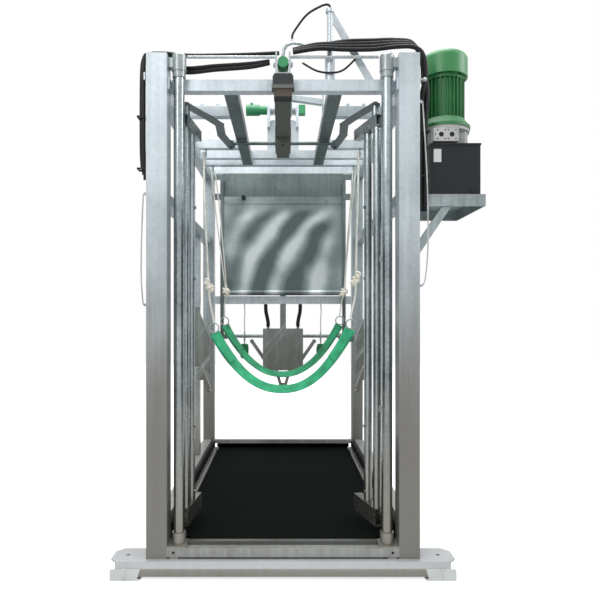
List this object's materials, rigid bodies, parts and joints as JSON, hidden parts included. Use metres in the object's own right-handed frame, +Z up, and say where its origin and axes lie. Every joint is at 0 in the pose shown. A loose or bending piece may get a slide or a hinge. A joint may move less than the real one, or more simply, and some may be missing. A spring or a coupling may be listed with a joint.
{
  "type": "hoof trimming chute",
  "caption": "Open galvanised steel chute for holding cattle during hoof care, with powered folding entrance gates, belly slings, leg rests and a rubber floor",
  "frame": {"origin": "on the ground at the centre of the four anchor holes", "axes": "+X to the power pack's side, +Y from the entrance to the far end, +Z up"},
  "size_m": [1.649, 1.916, 2.5495],
  "materials": {
    "galvanised": "hot-dip galvanised, mottled satin",
    "white_paint": "satin white paint",
    "dark_paint": "satin dark grey-green paint",
    "green_paint": "satin green enamel",
    "black_paint": "satin black paint",
    "alloy": "machined and cast alloy",
    "rod_chrome": "hard chrome",
    "floor_rubber": "matt black rubber",
    "hose_rubber": "black hose rubber",
    "black_plastic": "matt black plastic",
    "green_webbing": "woven green webbing",
    "rope": "laid off-white rope"
  },
  "bodies": {
    "frame": {"front_base_beam": "galvanised", "rear_base_beam": "galvanised", "foot_shoes": "white_paint", "front_post_left": "galvanised", "front_post_right": "galvanised", "rear_post_left": "galvanised", "rear_post_right": "galvanised", "threshold_rail": "galvanised", "floor_rails": "galvanised", "floor_tray": "galvanised", "mat_and_skirts": "floor_rubber", "mat_strips": "galvanised", "gate_seats": "galvanised", "gate_caps": "galvanised", "front_crossbar": "galvanised", "side_rails": "galvanised", "roof_beams": "galvanised", "roof_ties": "galvanised", "far_beams": "galvanised", "middle_beam": "dark_paint", "beam_head": "dark_paint", "cylinder_mount": "galvanised", "gate_cylinder": "green_paint", "hose_mast": "galvanised", "beam_hanger": "galvanised", "winch_plate": "galvanised", "winch_drive": "green_paint", "shelf": "galvanised", "tank": "black_paint", "valve_block": "alloy", "pump_adapter": "alloy", "oil_pump": "galvanised", "motor_housing": "green_paint", "fan_cowl": "green_paint", "terminal_box": "green_paint", "guide_frame": "galvanised", "breast_pipe": "galvanised", "stanchions": "galvanised", "frame_hoses": "hose_rubber", "steel_fittings": "galvanised", "black_fittings": "black_plastic", "belly_belts": "green_webbing", "ropes": "rope", "leg_cuffs": "green_webbing"},
    "gate_left": {"gate_left": "galvanised"},
    "gate_right": {"gate_right": "galvanised"},
    "trolley": {"gate_trolley": "dark_paint", "cross_rod": "galvanised", "piston_rod": "rod_chrome"},
    "link_left": {"link_left": "dark_paint"},
    "link_right": {"link_right": "dark_paint"},
    "head_panel": {"sliding_panel": "galvanised", "panel_knob": "black_plastic"},
    "leg_lift": {"leg_lift": "galvanised"},
    "leg_arm_left": {"leg_arm_left": "galvanised"},
    "leg_arm_right": {"leg_arm_right": "galvanised"},
    "leg_rest_left": {"leg_rests_l": "galvanised"},
    "leg_rest_right": {"leg_rests_r": "galvanised"},
    "winch": {"belt_winch": "galvanised"},
    "rotor": {"motor_rotor": "galvanised"}
  },
  "joints": [
    {"name": "gate_left_swing", "type": "hinge", "parent": "frame", "child": "gate_left", "pos_m": [-0.46, -0.875, 1], "axis": [0, 0, 1], "range_deg": [-84, 0]},
    {"name": "gate_right_swing", "type": "hinge", "parent": "frame", "child": "gate_right", "pos_m": [0.46, -0.875, 1], "axis": [0, 0, 1], "range_deg": [0, 74.1]},
    {"name": "trolley_slide", "type": "slide", "parent": "frame", "child": "trolley", "axis": [0, 1, 0], "range_m": [-0.1045, 0]},
    {"name": "link_left_turn", "type": "hinge", "parent": "trolley", "child": "link_left", "pos_m": [-0.3, -0.109, 2.114], "axis": [0, 0, 1], "range_deg": [0, 9.45]},
    {"name": "link_right_turn", "type": "hinge", "parent": "trolley", "child": "link_right", "pos_m": [0.3, -0.109, 2.114], "axis": [0, 0, 1], "range_deg": [-7.65, 0]},
    {"name": "head_panel_slide", "type": "slide", "parent": "frame", "child": "head_panel", "axis": [0, 0, 1], "range_m": [-0.3, 0]},
    {"name": "leg_lift_slide", "type": "slide", "parent": "frame", "child": "leg_lift", "axis": [0, 0, 1], "range_m": [-0.12, 0]},
    {"name": "leg_arm_left_fold", "type": "hinge", "parent": "leg_lift", "child": "leg_arm_left", "pos_m": [-0.148, 0.865, 0.812], "axis": [0, 1, 0], "range_deg": [0, 60]},
    {"name": "leg_arm_right_fold", "type": "hinge", "parent": "leg_lift", "child": "leg_arm_right", "pos_m": [0.148, 0.865, 0.812], "axis": [0, 1, 0], "range_deg": [-60, 0]},
    {"name": "leg_rest_left_swing", "type": "hinge", "parent": "frame", "child": "leg_rest_left", "pos_m": [-0.566, 0.348, 0.99], "axis": [0, 0, 1], "range_deg": [-80, 0]},
    {"name": "leg_rest_right_swing", "type": "hinge", "parent": "frame", "child": "leg_rest_right", "pos_m": [0.566, 0.348, 0.99], "axis": [0, 0, 1], "range_deg": [0, 80]},
    {"name": "winch_turn", "type": "hinge", "parent": "frame", "child": "winch", "pos_m": [0, 0.234, 2.445], "axis": [1, 0, 0], "continuous": true},
    {"name": "rotor_spin", "type": "hinge", "parent": "frame", "child": "rotor", "pos_m": [0.757, -0.72, 2.2], "axis": [0, 0, 1], "continuous": true}
  ],
  "couplings": [
    {"joint": "gate_right_swing", "follows": "gate_left_swing", "ratio": -0.88095},
    {"joint": "trolley_slide", "follows": "gate_left_swing", "m_per_rad": 0.07094},
    {"joint": "link_left_turn", "follows": "gate_left_swing", "ratio": -0.1118},
    {"joint": "link_right_turn", "follows": "gate_left_swing", "ratio": 0.0902}
  ]
}
